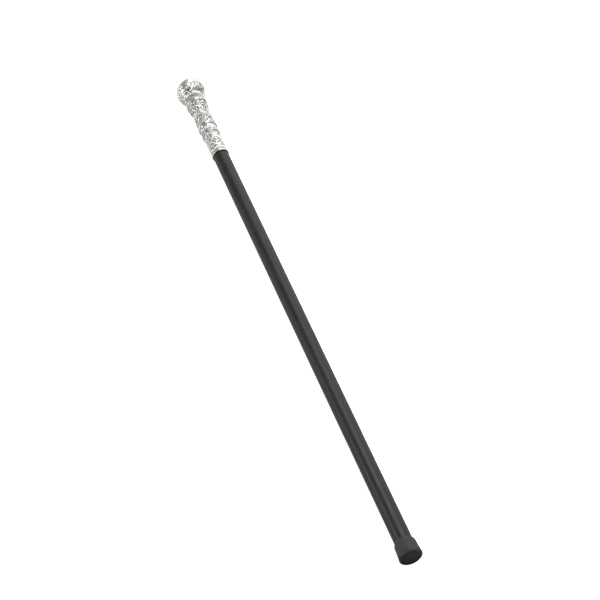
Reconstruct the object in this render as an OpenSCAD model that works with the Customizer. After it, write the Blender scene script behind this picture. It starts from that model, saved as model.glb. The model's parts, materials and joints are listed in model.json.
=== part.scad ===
// Dress cane: an embossed metal knob handle that screws on to a black wooden shaft with a rubber ferrule.
// It lies along X with the knob at -X and the ferrule at +X. The knob rests on the plane z = 0.
// Every piece is round, so it is drawn along its own axis by its distance u from the top of the knob.

/* [Cane] */
// Overall length, from the top of the knob to the base of the ferrule
cane_length = 914; // [800:1:1000]
// Diameter of the wooden shaft
shaft_d = 23; // [22:0.1:23.4]

/* [Knob] */
// Diameter of the ball
knob_d = 43.4; // [42:0.2:46]
// Height of the polished crown, from the top of the knob to its edge
crown_height = 22.4; // [18:0.2:25]
// Wall of the two metal shells
shell_wall = 1.3; // [1:0.1:1.8]
// Radius of the neck under the ball
neck_r = 14.8; // [14.2:0.1:15.4]
// Angle below the widest line where the ball starts to turn in to the neck
neck_turn = 38; // [30:1:42]
// Distance from the top of the knob to the end of the neck
neck_end = 49.6; // [47:0.2:54]

/* [Handle sleeves] */
// Radius of the wooden dowel that the sleeves sit on
dowel_r = 11.2; // [10.8:0.1:11.4]
// Length of the broad ring under the knob
neck_ring_length = 7.4; // [5:0.2:9]
// Radius of the broad ring under the knob
neck_ring_r = 15.7; // [15:0.1:17]
// Length of the upper sleeve
upper_length = 21; // [18:0.5:26]
// Radius of the upper sleeve where it is widest
upper_r = 14.6; // [13.8:0.1:15.2]
// Radius of the waist
waist_r = 12.4; // [12.1:0.1:13]
// Length of the small ring at the waist
waist_ring_length = 2; // [1.4:0.1:3]
// Length of the grip sleeve
grip_length = 28.5; // [20:0.5:36]
// Radius of the grip sleeve where it is widest
grip_r = 13.8; // [13.2:0.1:14.4]
// Length of each raised ring beside the middle band
band_ring_length = 2; // [1.4:0.1:3]
// Radius of the upper raised ring
band_ring_upper_r = 14.3; // [13.9:0.1:15]
// Radius of the lower raised ring
band_ring_lower_r = 13.7; // [13.3:0.1:14.4]
// Length of the middle band
band_length = 14; // [10:0.5:18]
// Radius of the middle band
band_r = 13; // [12.4:0.1:13.4]
// Length of the lower sleeve
lower_length = 40.5; // [34:0.5:50]
// Radius of the lower sleeve
lower_r = 12.4; // [12.1:0.1:13]
// Length of the polished collar at the end of the handle
collar_length = 3.8; // [3:0.1:5]
// Radius of the collar
collar_r = 12.6; // [12.3:0.1:13.2]

/* [Screw joint] */
// Radius of the stud that the handle screws on to
stud_r = 5; // [4:0.5:6]
// Length of the stud inside the handle's socket
stud_engaged = 18; // [14:1:20]
// Length of the stud bonded in the shaft
stud_bonded = 32; // [20:1:45]
// Gap between the handle's last face and the collar
seam = 0.2; // [0.1:0.05:0.4]
// Gap all round the stud in the parts that turn or slide on it
running_gap = 0.05; // [0.02:0.01:0.1]
// Thickness of the fibre washer
fibre_thickness = 0.8; // [0.5:0.1:1.5]

/* [Tie rod] */
// Radius of the rod
rod_r = 3; // [2.5:0.5:3.5]
// Width across the flats of its nut
nut_flats = 10; // [9:0.5:11]
// Thickness of its nut
nut_height = 5; // [4:0.5:5]
// Radius of the flat washer under the nut
washer_r = 6.5; // [6:0.1:7.5]
// Thickness of the flat washer
washer_height = 1.2; // [0.8:0.1:1.6]

/* [Ferrule] */
// Height of the ferrule
ferrule_height = 23.2; // [20:0.2:32]
// Radius of the ferrule's base
ferrule_base_r = 14.9; // [14.2:0.1:16]
// Radius of the ferrule at its shoulder
ferrule_top_r = 13.7; // [13.2:0.1:13.9]
// Thickness of rubber under the shaft, washer included
ferrule_floor = 6; // [5:0.5:9]
// Depth of the ring groove in the ferrule's base
tread_depth = 0.8; // [0.4:0.1:1.5]
// Width of that groove
tread_width = 1.2; // [0.8:0.1:2]

/* [Hidden] */
$fn = 96;
cut = 1;            // how far a cutting shape runs past the face that it cuts
curve_steps = 10;   // straight steps in each curve that is drawn from a formula

knob_r = knob_d / 2;
shaft_r = shaft_d / 2;
silver = "gainsboro";
polished = "whitesmoke";
steel = "silver";
timber = "burlywood";

// Stations along the handle
neck_ring_end = neck_end + neck_ring_length;
upper_end = neck_ring_end + upper_length;
waist_end = upper_end + waist_ring_length;
grip_end = waist_end + grip_length;
band_start = grip_end + band_ring_length;
band_end = band_start + band_length;
lower_start = band_end + band_ring_length;
handle_end = lower_start + lower_length;
collar_end = handle_end + seam + collar_length;
shaft_start = collar_end + fibre_thickness;

// The rod's nut sits in a pocket in the wooden ball, under the crown
pocket_r = washer_r + 2.5;
pocket_floor = 10.4;
nut_start = pocket_floor - washer_height - nut_height;
rod_start = nut_start - 1.2;

// The brass socket: a flange against the end of the dowel and a body inside it
socket_flange = 2;
socket_r = 8.5;
socket_length = stud_engaged + 9;
socket_start = handle_end - socket_length;
rod_end = socket_start + 6.5;

// Ferrule
ferrule_start = cane_length - ferrule_height;
ferrule_washer_height = 1.5;
ferrule_washer_r = 10;
washer_top = cane_length - ferrule_floor;
shaft_end_gap = 0.3;
shoulder_length = 5.5;
mouth_r = shaft_r + 0.4;
base_round = 1.3;
tread_r = 0.72 * ferrule_base_r;

// Puts a piece that is drawn along +Z from z = 0 into place along the cane
module along_cane(u = 0) {
    translate([u - cane_length / 2, 0, knob_r])
        rotate([0, 90, 0])
            children();
}

// Tube from u0 to u1
module tube(u0, u1, outer, inner) {
    along_cane(u0)
        difference() {
            cylinder(h = u1 - u0, r = outer);
            translate([0, 0, -cut])
                cylinder(h = u1 - u0 + 2 * cut, r = inner);
        }
}

// Solid of revolution from an outline of [radius, u] points, with a bore through it
module turned(outline, bore) {
    along_cane()
        difference() {
            rotate_extrude()
                polygon(outline);
            cylinder(h = cane_length + cut, r = bore);
        }
}

// Points of an arc about centre, from angle a0 to a1
function arc(centre, r, a0, a1) = [
    for (i = [0:curve_steps])
        let (a = a0 + (a1 - a0) * i / curve_steps)
            centre + r * [cos(a), sin(a)]
];

// Points of a smooth S from radius ra at u0 to radius rb at u1
function ease(ra, u0, rb, u1) = [
    for (i = [0:curve_steps])
        let (t = i / curve_steps)
            [ra + (rb - ra) * (1 - cos(180 * t)) / 2, u0 + (u1 - u0) * t]
];

// Outline of the ball with its neck, moved inwards by inset
module knob_outline(inset) {
    r = knob_r - inset;
    end_r = neck_r - inset;
    turn = [r * cos(neck_turn), knob_r + r * sin(neck_turn)];
    fillet = (turn.x - end_r) / (1 - cos(neck_turn));
    hollow = turn + fillet * [cos(neck_turn), sin(neck_turn)];
    translate([0, knob_r])
        intersection() {
            circle(r = r);
            translate([0, -r])
                square([r, 2 * r]);
        }
    difference() {
        translate([0, knob_r])
            square([turn.x, hollow.y - knob_r]);
        translate(hollow)
            circle(r = fillet);
    }
    translate([0, knob_r])
        square([end_r, neck_end - knob_r]);
}

// One half of the hollow knob, between two heights
module knob_shell(u0, u1) {
    along_cane()
        rotate_extrude()
            intersection() {
                difference() {
                    knob_outline(0);
                    difference() {
                        knob_outline(shell_wall);
                        translate([0, neck_end])
                            square([knob_r, cut]);
                    }
                }
                translate([0, u0])
                    square([knob_r + cut, u1 - u0]);
            }
}

// Raised ring with a half-round outside
module bead_ring(u0, u1, outer) {
    half = (u1 - u0) / 2;
    along_cane()
        difference() {
            rotate_extrude()
                union() {
                    translate([0, u0])
                        square([outer - half, u1 - u0]);
                    translate([outer - half, (u0 + u1) / 2])
                        circle(r = half);
                }
            cylinder(h = u1 + cut, r = dowel_r);
        }
}

module knob_crown() {
    color(polished) knob_shell(0, crown_height);
}

module knob_bowl() {
    color(silver) knob_shell(crown_height, neck_end);
}

module knob_core() {
    color(timber)
        along_cane()
            difference() {
                rotate_extrude()
                    knob_outline(shell_wall);
                translate([0, 0, -cut])
                    cylinder(h = pocket_floor + cut, r = pocket_r);
                cylinder(h = neck_end + cut, r = rod_r);
            }
}

module crown_nut() {
    color(steel)
        along_cane(nut_start)
            difference() {
                cylinder(h = nut_height, r = nut_flats / 2 / cos(30), $fn = 6);
                translate([0, 0, -cut])
                    cylinder(h = nut_height + 2 * cut, r = rod_r);
            }
}

module crown_washer() {
    color(steel) tube(pocket_floor - washer_height, pocket_floor, washer_r, rod_r);
}

module tie_rod() {
    color(steel)
        along_cane(rod_start)
            cylinder(h = rod_end - rod_start, r = rod_r);
}

module neck_ring() {
    edge = 0.8;
    color(polished)
        turned(concat(
            [[0, neck_end]],
            arc([neck_ring_r - edge, neck_end + edge], edge, -90, 0),
            arc([neck_ring_r - edge, neck_ring_end - edge], edge, 0, 90),
            [[0, neck_ring_end]]
        ), dowel_r);
}

module upper_sleeve() {
    barrel_end = neck_ring_end + upper_length * 0.42;
    waist_start = neck_ring_end + upper_length * 0.8;
    color(silver)
        turned(concat(
            [[0, neck_ring_end], [upper_r, neck_ring_end]],
            ease(upper_r, barrel_end, waist_r, waist_start),
            [[waist_r, upper_end], [0, upper_end]]
        ), dowel_r);
}

module waist_ring() {
    color(polished) bead_ring(upper_end, waist_end, waist_r + 0.7);
}

module grip_sleeve() {
    swell_end = waist_end + grip_length * 0.35;
    color(silver)
        turned(concat(
            [[0, waist_end]],
            ease(waist_r + 0.3, waist_end, grip_r, swell_end),
            [[grip_r, grip_end], [0, grip_end]]
        ), dowel_r);
}

module band_ring_upper() {
    color(polished) bead_ring(grip_end, band_start, band_ring_upper_r);
}

module middle_band() {
    color(silver) tube(band_start, band_end, band_r, dowel_r);
}

module band_ring_lower() {
    color(polished) bead_ring(band_end, lower_start, band_ring_lower_r);
}

module lower_sleeve() {
    color(silver) tube(lower_start, handle_end, lower_r, dowel_r);
}

module handle_core() {
    color(timber)
        along_cane(neck_end)
            difference() {
                cylinder(h = handle_end - socket_flange - neck_end, r = dowel_r);
                translate([0, 0, -cut])
                    cylinder(h = cane_length, r = rod_r);
                translate([0, 0, socket_start - neck_end])
                    cylinder(h = socket_length, r = socket_r);
            }
}

module threaded_socket() {
    color("goldenrod")
        along_cane(socket_start)
            difference() {
                union() {
                    cylinder(h = socket_length, r = socket_r);
                    translate([0, 0, socket_length - socket_flange])
                        cylinder(h = socket_flange, r = dowel_r);
                }
                translate([0, 0, -cut])
                    cylinder(h = rod_end - socket_start + cut, r = rod_r);
                translate([0, 0, socket_length - stud_engaged - cut])
                    cylinder(h = stud_engaged + 2 * cut, r = stud_r + running_gap);
            }
}

module collar_ring() {
    start = handle_end + seam;
    edge = 0.7;
    color(polished)
        turned(concat(
            [[0, start]],
            arc([collar_r - edge, start + edge], edge, -90, 0),
            arc([collar_r - edge, collar_end - edge], edge, 0, 90),
            [[0, collar_end]]
        ), stud_r + running_gap);
}

module fibre_washer() {
    color("dimgray")
        tube(collar_end, shaft_start - seam, shaft_r - 0.4, stud_r + running_gap);
}

module shaft() {
    end = washer_top - shaft_end_gap;
    chamfer = 0.5;
    color([0.12, 0.12, 0.13])
        along_cane(shaft_start)
            difference() {
                union() {
                    cylinder(h = chamfer, r1 = shaft_r - chamfer, r2 = shaft_r);
                    translate([0, 0, chamfer])
                        cylinder(h = end - shaft_start - chamfer, r = shaft_r);
                }
                translate([0, 0, -cut])
                    cylinder(h = stud_bonded + cut, r = stud_r);
            }
}

module shaft_stud() {
    tip = 1;
    start = handle_end - stud_engaged;
    color(steel)
        along_cane(start) {
            cylinder(h = tip, r1 = stud_r - tip, r2 = stud_r);
            translate([0, 0, tip])
                cylinder(h = shaft_start + stud_bonded - start - tip, r = stud_r);
        }
}

// Outline of the ferrule's outside
function ferrule_outline() =
    let (
        rise = ferrule_top_r - mouth_r,
        r = (rise * rise + shoulder_length * shoulder_length) / (2 * rise),
        shoulder = ferrule_start + shoulder_length
    ) concat(
        [[0, ferrule_start]],
        arc([ferrule_top_r - r, shoulder], r, -asin(shoulder_length / r), 0),
        arc([ferrule_base_r - base_round, cane_length - base_round], base_round, 0, 90),
        [[0, cane_length]]
    );

module rubber_ferrule() {
    color([0.2, 0.2, 0.2])
        along_cane()
            difference() {
                rotate_extrude()
                    polygon(ferrule_outline());
                translate([0, 0, ferrule_start - cut])
                    cylinder(h = washer_top - ferrule_start + cut, r = shaft_r + running_gap);
                translate([0, 0, washer_top - cut])
                    cylinder(h = ferrule_washer_height + cut, r = ferrule_washer_r);
                translate([0, 0, cane_length - tread_depth])
                    difference() {
                        cylinder(h = tread_depth + cut, r = tread_r + tread_width / 2);
                        translate([0, 0, -cut])
                            cylinder(h = tread_depth + 3 * cut, r = tread_r - tread_width / 2);
                    }
            }
}

module ferrule_washer() {
    color(steel) tube(washer_top, washer_top + ferrule_washer_height, ferrule_washer_r, 3.2);
}

knob_crown();
knob_bowl();
knob_core();
crown_nut();
crown_washer();
tie_rod();
neck_ring();
upper_sleeve();
waist_ring();
grip_sleeve();
band_ring_upper();
middle_band();
band_ring_lower();
lower_sleeve();
handle_core();
threaded_socket();
collar_ring();
fibre_washer();
shaft();
shaft_stud();
rubber_ferrule();
ferrule_washer();
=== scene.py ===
# %% [markdown]
# # A magician's cane with an embossed silver knob
#
# The real cane is a stack of pressed and turned silver pieces on a wooden dowel, screwed to a black
# lacquered stick that ends in a rubber tip. The CAD model already fixes every size and every joint. This
# file dresses it: each part that shows gets a fine mesh and a finish, and nothing is moved or resized.
# The first cell loads the imported cane.

# %% Load the imported cane
import json
import math

import bmesh
import bpy
import numpy as np
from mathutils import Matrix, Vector


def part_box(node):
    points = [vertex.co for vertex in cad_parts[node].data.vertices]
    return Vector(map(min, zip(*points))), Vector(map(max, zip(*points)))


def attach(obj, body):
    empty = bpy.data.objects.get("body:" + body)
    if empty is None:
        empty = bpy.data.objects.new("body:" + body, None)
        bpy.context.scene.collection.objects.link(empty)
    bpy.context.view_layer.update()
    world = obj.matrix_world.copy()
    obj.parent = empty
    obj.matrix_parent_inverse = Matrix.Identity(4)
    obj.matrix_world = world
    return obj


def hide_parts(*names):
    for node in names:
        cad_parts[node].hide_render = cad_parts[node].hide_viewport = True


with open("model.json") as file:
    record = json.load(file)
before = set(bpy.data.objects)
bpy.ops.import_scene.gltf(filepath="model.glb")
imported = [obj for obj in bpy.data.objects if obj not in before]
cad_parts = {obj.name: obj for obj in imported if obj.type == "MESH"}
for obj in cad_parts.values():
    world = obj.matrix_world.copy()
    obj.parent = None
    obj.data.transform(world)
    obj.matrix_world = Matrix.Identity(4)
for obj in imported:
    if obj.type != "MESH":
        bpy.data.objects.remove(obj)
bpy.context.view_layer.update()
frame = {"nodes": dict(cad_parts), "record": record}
MM = 0.001
print("nodes in the packed cane:", len(frame["nodes"]))

# %% [markdown]
# ## Reading sizes from the frame
#
# Every silver piece is round, so two numbers along the cane and one radius describe where it sits. They
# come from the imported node's own box. The cane lies along X, and its axis is half a knob above the floor.

# %% Where each round piece sits
knob_low, knob_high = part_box("knob_bowl")
AXIS_Z = (knob_low.z + knob_high.z) / 2


def reach(node):
    """The start, the end and the largest radius of a round node."""
    low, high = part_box(node)
    return low.x, high.x, (high.y - low.y) / 2


_, tip_x, TIP_R = reach("rubber_ferrule")
knob_x = reach("knob_crown")[0]
KNOB_R = reach("knob_crown")[2]
print(f"length {tip_x - knob_x:.3f} m, axis {AXIS_Z / MM:.1f} mm above the floor")

# %% [markdown]
# ## Helpers for nodes
#
# Geometry trees and shader trees are both built from nodes and wires. Writing each one by hand takes many
# lines, so a few short helpers do it: one places a node and fills its inputs, some do arithmetic, and one
# measures how far a place is from the cane's axis.


# %% Node helpers
def place(tree, kind, settings=None, wires=None):
    """Adds a node, sets its options, and gives its inputs a value or a wire by name or number."""
    node = tree.nodes.new(kind)
    for key, value in (settings or {}).items():
        setattr(node, key, value)
    for key, value in (wires or {}).items():
        if isinstance(value, bpy.types.NodeSocket):
            tree.links.new(value, node.inputs[key])
        else:
            node.inputs[key].default_value = value
    return node


def calc(tree, operation, a, b=0.0, c=0.0, clamp=False):
    """One step of arithmetic in a geometry or shader tree."""
    settings = {"operation": operation, "use_clamp": clamp}
    return place(tree, "ShaderNodeMath", settings, {0: a, 1: b, 2: c}).outputs[0]


def times(tree, first, *others, clamp=False):
    """The product of two or more values."""
    for other in others:
        first = calc(tree, "MULTIPLY", first, other, clamp=clamp)
    return first


def minus(tree, a, b, clamp=False):
    return calc(tree, "SUBTRACT", a, b, clamp=clamp)


def arrow(tree, **parts):
    """A vector from its parts, named X, Y and Z."""
    return place(tree, "ShaderNodeCombineXYZ", None, parts).outputs[0]


def arrow_calc(tree, operation, wires):
    return place(tree, "ShaderNodeVectorMath", {"operation": operation}, wires).outputs


def from_axis(tree, spot, axis_height):
    """A place's parts, its rise above the axis, the arrow to it from the axis and that arrow's length."""
    parts = place(tree, "ShaderNodeSeparateXYZ", None, {0: spot}).outputs
    rise = minus(tree, parts["Z"], axis_height)
    across = arrow(tree, Y=parts["Y"], Z=rise)
    return parts, rise, across, arrow_calc(tree, "LENGTH", {0: across})["Value"]


def new_group(name, kind, inputs, outputs):
    """An empty node group with named sockets. Returns the tree, its inputs and the wires of its output."""
    tree = bpy.data.node_groups.new(name, kind)
    for label, socket_type, default in inputs:
        made = tree.interface.new_socket(label, in_out="INPUT", socket_type=socket_type)
        if default is not None:
            made.default_value = default
    for label, socket_type in outputs:
        tree.interface.new_socket(label, in_out="OUTPUT", socket_type=socket_type)
    given = tree.nodes.new("NodeGroupInput").outputs
    result = tree.nodes.new("NodeGroupOutput").inputs
    return tree, given, result


FLOAT, INT, VECTOR = "NodeSocketFloat", "NodeSocketInt", "NodeSocketVector"
GEOMETRY, OBJECT, MATERIAL = "NodeSocketGeometry", "NodeSocketObject", "NodeSocketMaterial"

# %% [markdown]
# ## Tarnish, shared by every silver surface
#
# Silver goes black where a polishing cloth can't reach and stays bright where it can. Each silver mesh
# carries a number called high: 1 on a crest, 0 in a hollow. This group turns it into a mask, broken up by
# noise at two sizes so that no edge of the tarnish is a clean line. It is one group so that rings, sleeves
# and knob all age in the same way.


# %% The tarnish group
def build_tarnish_group():
    tree, given, result = new_group(
        "tarnish_in_hollows",
        "ShaderNodeTree",
        [("Reach", FLOAT, 0.5), ("Softness", FLOAT, 0.25), ("Cloudiness", FLOAT, 0.2)],
        [("Bright", FLOAT), ("Cloud", FLOAT)],
    )
    high = place(tree, "ShaderNodeAttribute", {"attribute_name": "high"}).outputs["Fac"]
    spot = place(tree, "ShaderNodeTexCoord").outputs["Object"]
    fine = place(tree, "ShaderNodeTexNoise", None, {"Vector": spot, "Scale": 900.0, "Detail": 3.0})
    broad = place(tree, "ShaderNodeTexNoise", None, {"Vector": spot, "Scale": 110.0, "Detail": 2.0})
    both = times(tree, calc(tree, "ADD", fine.outputs["Fac"], broad.outputs["Fac"]), 0.5)
    cloud = times(tree, minus(tree, both, 0.5), given["Cloudiness"], 2.0)
    level = calc(tree, "ADD", high, cloud)
    ramp = place(
        tree,
        "ShaderNodeMapRange",
        {"interpolation_type": "SMOOTHSTEP"},
        {
            "Value": level,
            "From Min": minus(tree, given["Reach"], given["Softness"]),
            "From Max": calc(tree, "ADD", given["Reach"], given["Softness"]),
        },
    )
    tree.links.new(ramp.outputs[0], result["Bright"])
    tree.links.new(broad.outputs["Fac"], result["Cloud"])
    return tree


tarnish_group = build_tarnish_group()
print("shader group:", tarnish_group.name)

# %% [markdown]
# ## Fine marks, shared by metal, lacquer and rubber
#
# Nothing that is handled stays perfectly even. This group gives a small height that can be stretched along
# the cane, for brush strokes and wood pores, or left round, for the pebbled skin of rubber. A Bump node in
# each material turns the height into tiny slopes, because these marks are far too small to model.


# %% The fine marks group
def build_marks_group():
    tree, given, result = new_group(
        "fine_marks",
        "ShaderNodeTree",
        [("Stretch", VECTOR, (1.0, 1.0, 1.0)), ("Scale", FLOAT, 800.0), ("Detail", FLOAT, 4.0)],
        [("Height", FLOAT), ("Patch", FLOAT)],
    )
    spot = place(tree, "ShaderNodeTexCoord").outputs["Object"]
    shaped = arrow_calc(tree, "MULTIPLY", {0: spot, 1: given["Stretch"]})[0]
    wires = {"Vector": shaped, "Scale": given["Scale"], "Detail": given["Detail"]}
    fine = place(tree, "ShaderNodeTexNoise", None, wires)
    patch = place(tree, "ShaderNodeTexNoise", None, {"Vector": spot, "Scale": 45.0, "Detail": 3.0})
    tree.links.new(fine.outputs["Fac"], result["Height"])
    tree.links.new(patch.outputs["Fac"], result["Patch"])
    return tree


marks_group = build_marks_group()
print("shader group:", marks_group.name)

# %% [markdown]
# ## Building a finish
#
# Each finish is a Principled shader with a few wires. The helpers below start one, mix two colours by a
# mask, squeeze a value from one range into another, and wire the three things that change over a surface:
# its colour, its roughness and the tiny slopes of its marks.


# %% Finish helpers
def start_finish(name, **fixed):
    """A material with a Principled shader whose fixed values sit on its own sockets."""
    material = bpy.data.materials.new(name)
    material.use_nodes = True
    tree = material.node_tree
    shader = tree.nodes["Principled BSDF"]
    for key, value in fixed.items():
        shader.inputs[key.replace("_", " ").title().replace("Ior", "IOR")].default_value = value
    return material, tree, shader


def mixed_colour(tree, mask, first, second):
    """The first colour where the mask is 0 and the second where it is 1. Each is a wire or a fixed colour."""
    mix = place(tree, "ShaderNodeMix", {"data_type": "RGBA"})
    tree.links.new(mask, mix.inputs["Factor"])
    colours = [socket for socket in mix.inputs if socket.type == "RGBA"]
    for socket, colour in zip(colours, (first, second)):
        if isinstance(colour, bpy.types.NodeSocket):
            tree.links.new(colour, socket)
        else:
            socket.default_value = (*colour, 1.0)
    return next(socket for socket in mix.outputs if socket.type == "RGBA")


def ranged(tree, value, low, high, out_low=0.0, out_high=1.0):
    """A value squeezed from one range into another, and held at the ends."""
    wires = {"Value": value, "From Min": low, "From Max": high, "To Min": out_low, "To Max": out_high}
    return place(tree, "ShaderNodeMapRange", None, wires).outputs[0]


def use_group(tree, group, wires):
    return place(tree, "ShaderNodeGroup", {"node_tree": group}, wires).outputs


def wire_finish(tree, shader, colour, roughness, height, distance, strength):
    """Wires a finish's colour and roughness, and a height that a Bump node turns into slopes."""
    wires = {"Height": height, "Distance": distance, "Strength": strength}
    slopes = place(tree, "ShaderNodeBump", None, wires).outputs[0]
    for socket, wire in (("Base Color", colour), ("Roughness", roughness), ("Normal", slopes)):
        tree.links.new(wire, shader.inputs[socket])


# %% [markdown]
# ## The silver finishes
#
# The sleeves are embossed and blackened: dark in the ground of the pattern, bright on the leaves. The rings
# and the crown are the same metal, polished, with a cloudier sheen where hands have been. Only the colour
# and the roughness change over the surface. Metallic is the same everywhere, so it sits on the shader.


# %% Embossed and polished silver
ROUND_MARKS = (1.0, 1.0, 1.0)
YELLOWING = (0.95, 0.91, 0.83)


def silver_finish(name, bright, dark, reach_up, cloudiness, smooth, dull):
    """Silver between a bright and a dark colour. smooth and dull are its roughness where it is each."""
    material, tree, shader = start_finish(name, metallic=1.0)
    wires = {"Reach": reach_up, "Softness": 0.24, "Cloudiness": cloudiness}
    tarnish = use_group(tree, tarnish_group, wires)
    warm = tuple(c * f for c, f in zip(bright, YELLOWING))
    clean = mixed_colour(tree, ranged(tree, tarnish["Cloud"], 0.42, 0.68), bright, warm)
    colour = mixed_colour(tree, tarnish["Bright"], dark, clean)
    marks = use_group(tree, marks_group, {"Stretch": ROUND_MARKS, "Scale": 1500.0})
    shine = ranged(tree, tarnish["Bright"], 0.0, 1.0, dull, smooth)
    haze = ranged(tree, marks["Patch"], 0.4, 0.7, 0.0, 0.10)
    roughness = calc(tree, "ADD", shine, haze)
    wire_finish(tree, shader, colour, roughness, marks["Height"], distance=0.06 * MM, strength=0.35)
    return material


embossed_silver = silver_finish(
    "embossed_silver",
    bright=(0.95, 0.945, 0.936),
    dark=(0.040, 0.038, 0.036),
    reach_up=0.33,
    cloudiness=0.60,
    smooth=0.18,
    dull=0.48,
)
polished_silver = silver_finish(
    "polished_silver",
    bright=(0.86, 0.855, 0.845),
    dark=(0.075, 0.072, 0.069),
    reach_up=0.28,
    cloudiness=0.30,
    smooth=0.21,
    dull=0.44,
)
print("silver finishes:", embossed_silver.name, polished_silver.name)

# %% [markdown]
# ## Black lacquer
#
# The stick is hardwood under a thin black satin lacquer. The film is not a mirror: it sinks a little into
# long wood pores and wipes to slightly different sheens. So the pores are a stretched noise, very shallow,
# and the roughness wanders in long soft patches.


# %% The lacquer finish
LACQUER_DEEP = (0.008, 0.008, 0.0083)
LACQUER_THIN = (0.014, 0.0138, 0.0136)
LACQUER_WORN = (0.036, 0.034, 0.032)
ALONG_THE_GRAIN = (0.06, 1.0, 1.0)


def lacquer_finish():
    material, tree, shader = start_finish("black_lacquer", ior=1.46)
    pores = use_group(tree, marks_group, {"Stretch": ALONG_THE_GRAIN, "Scale": 1400.0})
    colour = mixed_colour(tree, ranged(tree, pores["Patch"], 0.35, 0.7), LACQUER_DEEP, LACQUER_THIN)
    worn = ranged(tree, pores["Height"], 0.62, 0.80, 0.0, 0.4)
    colour = mixed_colour(tree, worn, colour, LACQUER_WORN)
    roughness = ranged(tree, pores["Patch"], 0.3, 0.72, 0.38, 0.50)
    wire_finish(tree, shader, colour, roughness, pores["Height"], distance=0.08 * MM, strength=0.5)
    return material


black_lacquer = lacquer_finish()

# %% [markdown]
# ## Rubber
#
# Moulded rubber is matt and pebbled. Where the rim of the tip drags on the floor it turns grey with dust, in
# patches. The whole end face is painted darker than the sides: painted shade for a face that the lamps hardly
# reach, which is all that shows in its middle. So the dust mask needs two places at once: near the end of the
# cane and far from its axis.


# %% The rubber finish
RUBBER_DARK = (0.036, 0.036, 0.037)
RUBBER_FADED = (0.056, 0.055, 0.054)
# The end face's colour: painted shade, darker than the sides because little light reaches that face.
RUBBER_END_SHADE = (0.012, 0.012, 0.012)
FLOOR_DUST = (0.095, 0.092, 0.086)


def rubber_finish():
    material, tree, shader = start_finish("matt_rubber", specular_ior_level=0.42)
    skin = use_group(tree, marks_group, {"Stretch": ROUND_MARKS, "Scale": 1500.0})
    spot = place(tree, "ShaderNodeTexCoord").outputs["Object"]
    parts, _, _, off_axis = from_axis(tree, spot, AXIS_Z)
    low_end = ranged(tree, parts["X"], tip_x - 3.0 * MM, tip_x - 0.8 * MM)
    rim = ranged(tree, off_axis, 0.70 * TIP_R, 0.86 * TIP_R)
    patches = ranged(tree, skin["Patch"], 0.42, 0.62, 0.05, 0.75)
    dusty = times(tree, low_end, rim, patches)
    side = mixed_colour(tree, ranged(tree, skin["Patch"], 0.35, 0.7), RUBBER_DARK, RUBBER_FADED)
    # Painted shade: near the end, the side colour gives way to the darker end-face colour.
    side_and_end_shade = mixed_colour(tree, low_end, side, RUBBER_END_SHADE)
    colour = mixed_colour(tree, dusty, side_and_end_shade, FLOOR_DUST)
    roughness = ranged(tree, skin["Height"], 0.3, 0.7, 0.52, 0.74)
    wire_finish(tree, shader, colour, roughness, skin["Height"], distance=0.13 * MM, strength=0.5)
    return material


matt_rubber = rubber_finish()

# %% [markdown]
# ## The metals and woods inside
#
# The tie rod, the nuts and washers, the brass socket and the two wooden cores only show when the cane is
# taken apart, but they are still real parts with real finishes. The turned metals share one recipe: fine
# tool rings across the axis, and a colour that shifts a little from place to place.


# %% Turned metal, raw beech and fibre
def turned_metal(name, bright, deep, roughness):
    material, tree, shader = start_finish(name, metallic=1.0)
    rings = use_group(tree, marks_group, {"Stretch": (6.0, 0.15, 0.15), "Scale": 900.0})
    colour = mixed_colour(tree, ranged(tree, rings["Patch"], 0.35, 0.7), bright, deep)
    rough = ranged(tree, rings["Height"], 0.3, 0.7, roughness - 0.08, roughness + 0.1)
    wire_finish(tree, shader, colour, rough, rings["Height"], distance=0.04 * MM, strength=0.5)
    return material


def grained(name, pale, deep, stretch, scale, roughness, depth):
    material, tree, shader = start_finish(name)
    grain = use_group(tree, marks_group, {"Stretch": stretch, "Scale": scale, "Detail": 6.0})
    colour = mixed_colour(tree, ranged(tree, grain["Height"], 0.35, 0.68), pale, deep)
    rough = ranged(tree, grain["Patch"], 0.3, 0.7, roughness, roughness + 0.15)
    wire_finish(tree, shader, colour, rough, grain["Height"], distance=depth, strength=0.6)
    return material


machined_steel = turned_metal(
    "machined_steel", bright=(0.60, 0.61, 0.63), deep=(0.48, 0.49, 0.51), roughness=0.32
)
turned_brass = turned_metal(
    "turned_brass", bright=(0.78, 0.60, 0.30), deep=(0.62, 0.45, 0.20), roughness=0.30
)
raw_beech = grained(
    "raw_beech",
    pale=(0.60, 0.42, 0.25),
    deep=(0.42, 0.26, 0.14),
    stretch=(0.08, 1.0, 1.0),
    scale=500.0,
    roughness=0.6,
    depth=0.10 * MM,
)
pressed_fibre = grained(
    "pressed_fibre",
    pale=(0.060, 0.054, 0.050),
    deep=(0.034, 0.031, 0.029),
    stretch=ROUND_MARKS,
    scale=1600.0,
    roughness=0.7,
    depth=0.12 * MM,
)
FINISH_OF_SLOT = {
    "polished_silver": polished_silver,
    "embossed_silver": embossed_silver,
    "steel": machined_steel,
    "brass": turned_brass,
    "core_wood": raw_beech,
    "black_lacquer": black_lacquer,
    "fibre": pressed_fibre,
    "rubber": matt_rubber,
}
SLOT_OF_NODE = {part["node"]: part["material_slot"] for part in frame["record"]["subparts"]}
for node, slot in SLOT_OF_NODE.items():
    packed = frame["nodes"][node]
    packed.data.materials.clear()
    packed.data.materials.append(FINISH_OF_SLOT[slot])
print("finishes:", len(FINISH_OF_SLOT))

# %% [markdown]
# ## The lathe
#
# Every part of this cane is turned, so one function stands in for a lathe. It takes an outline of points,
# each a place along the cane and a radius, and carries it round the axis. A point with no radius closes the
# shape with a single pole, so that there is no pinhole at the end. The normals are recalculated last, which
# makes every face point outwards.


# %% A lathe for closed round shapes
NO_RADIUS = 1e-7


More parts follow.
